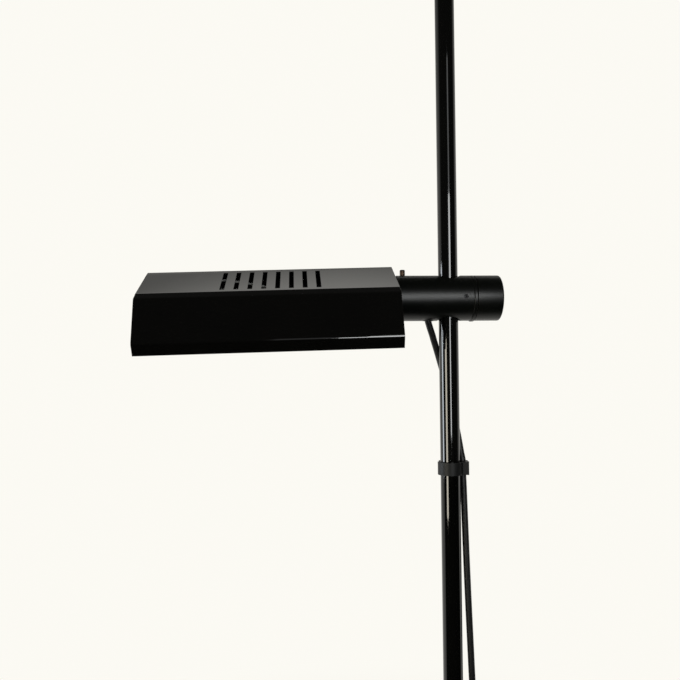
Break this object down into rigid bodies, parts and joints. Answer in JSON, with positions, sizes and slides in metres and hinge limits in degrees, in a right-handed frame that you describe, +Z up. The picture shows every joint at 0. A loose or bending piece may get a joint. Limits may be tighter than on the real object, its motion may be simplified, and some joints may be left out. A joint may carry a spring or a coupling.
{
  "type": "floor reading lamp",
  "caption": "Floor reading lamp: heavy round base, slim black pole, sliding and turning arm with end clamp knob, tilting folded-sheet halogen shade, cord clips, foot switch and coiled cord.",
  "frame": {"origin": "centre of the base pad on the floor, on the axis of the pole", "axes": "+Z up along the pole; the arm lies along X with the shade towards -X and the clamp knob towards +X; -Y is the front, the side the shade leans its top towards"},
  "size_m": [0.4505, 0.362, 1.7933],
  "materials": {
    "gloss_black": "gloss enamel",
    "satin_black": "satin enamel",
    "black_plastic": "satin moulded",
    "cord_black": "satin",
    "rubber": "matt",
    "steel": "zinc plated",
    "cast_iron": "black paint",
    "brass": "browned",
    "aluminium": "bright",
    "nylon": "moulded",
    "ceramic": "unglazed",
    "quartz": "clear",
    "clear_glass": "clear toughened",
    "silicone": "braided sleeve"
  },
  "bodies": {
    "stand": {"foot_pad": "rubber", "base_plate": "cast_iron", "base_bolt": "steel", "pole_foot": "steel", "pole_lower": "gloss_black", "pole_joiner": "steel", "pole_upper": "gloss_black", "pole_cap": "gloss_black", "cable_clip_upper": "black_plastic", "cable_clip_lower": "black_plastic", "flex_middle": "cord_black", "flex_lower": "cord_black", "flex_to_coil": "cord_black", "flex_coil": "cord_black", "coil_tie": "rubber", "plug_body": "black_plastic", "plug_pin_left": "brass", "plug_pin_right": "brass", "switch_tray": "rubber", "switch_cover": "black_plastic", "switch_spring": "steel"},
    "carriage": {"bush_upper": "nylon", "bush_lower": "nylon"},
    "arm": {"arm_tube": "satin_black", "spindle_bearing": "aluminium", "spindle_screw": "brass", "clamp_block": "aluminium", "block_screw": "steel", "end_bearing": "aluminium", "knob_washer": "satin_black", "cord_grommet": "rubber", "cord_grip": "nylon", "grip_screw_front": "steel", "grip_screw_back": "steel", "terminal_block": "ceramic", "flex_upper": "cord_black"},
    "knob": {"clamp_knob": "satin_black", "clamp_screw": "steel"},
    "shoe": {"clamp_shoe": "brass"},
    "head": {"spindle": "steel", "spindle_nut": "steel", "friction_washer": "nylon", "shade_shell": "gloss_black", "shade_end_near": "gloss_black", "shade_end_far": "gloss_black", "reflector": "aluminium", "holder_bracket_near": "steel", "holder_bracket_far": "steel", "lamp_holder_near": "ceramic", "lamp_holder_far": "ceramic", "lamp_contact_near": "brass", "lamp_tube": "quartz", "lamp_cap_near": "ceramic", "lamp_cap_far": "ceramic", "safety_glass": "clear_glass", "glass_rail_front": "aluminium", "glass_rail_back": "aluminium", "head_lead": "silicone"},
    "contact": {"lamp_contact_far": "brass"},
    "button": {"switch_button": "black_plastic"}
  },
  "joints": [
    {"name": "head_height", "type": "slide", "parent": "stand", "child": "carriage", "axis": [0, 0, 1], "range_m": [-0.06, 0.48], "deforming": ["flex_middle"]},
    {"name": "head_swivel", "type": "hinge", "parent": "carriage", "child": "arm", "pos_m": [0, 0, 1.25], "axis": [0, 0, 1], "range_deg": [-170, 170]},
    {"name": "head_tilt", "type": "hinge", "parent": "arm", "child": "head", "pos_m": [-0.0479, 0, 1.25], "axis": [0.9997, 0, 0.0225], "range_deg": [-191, 139]},
    {"name": "clamp_knob", "type": "hinge", "parent": "arm", "child": "knob", "pos_m": [0.04, 0, 1.25], "axis": [1, 0, 0], "range_deg": [0, 360]},
    {"name": "clamp_shoe", "type": "slide", "parent": "arm", "child": "shoe", "axis": [1, 0, 0], "range_m": [0, 0.00125]},
    {"name": "lamp_contact", "type": "slide", "parent": "head", "child": "contact", "axis": [-0.9997, 0, -0.0225], "range_m": [0, 0.0035], "stiffness_N_per_m": 200, "springref_m": -0.005},
    {"name": "switch_button", "type": "slide", "parent": "stand", "child": "button", "axis": [0, 0, -1], "range_m": [0, 0.003], "stiffness_N_per_m": 400, "springref_m": -0.004, "deforming": ["switch_spring"]}
  ],
  "couplings": [
    {"joint": "clamp_shoe", "follows": "clamp_knob", "m_per_rad": 0.00019894}
  ]
}
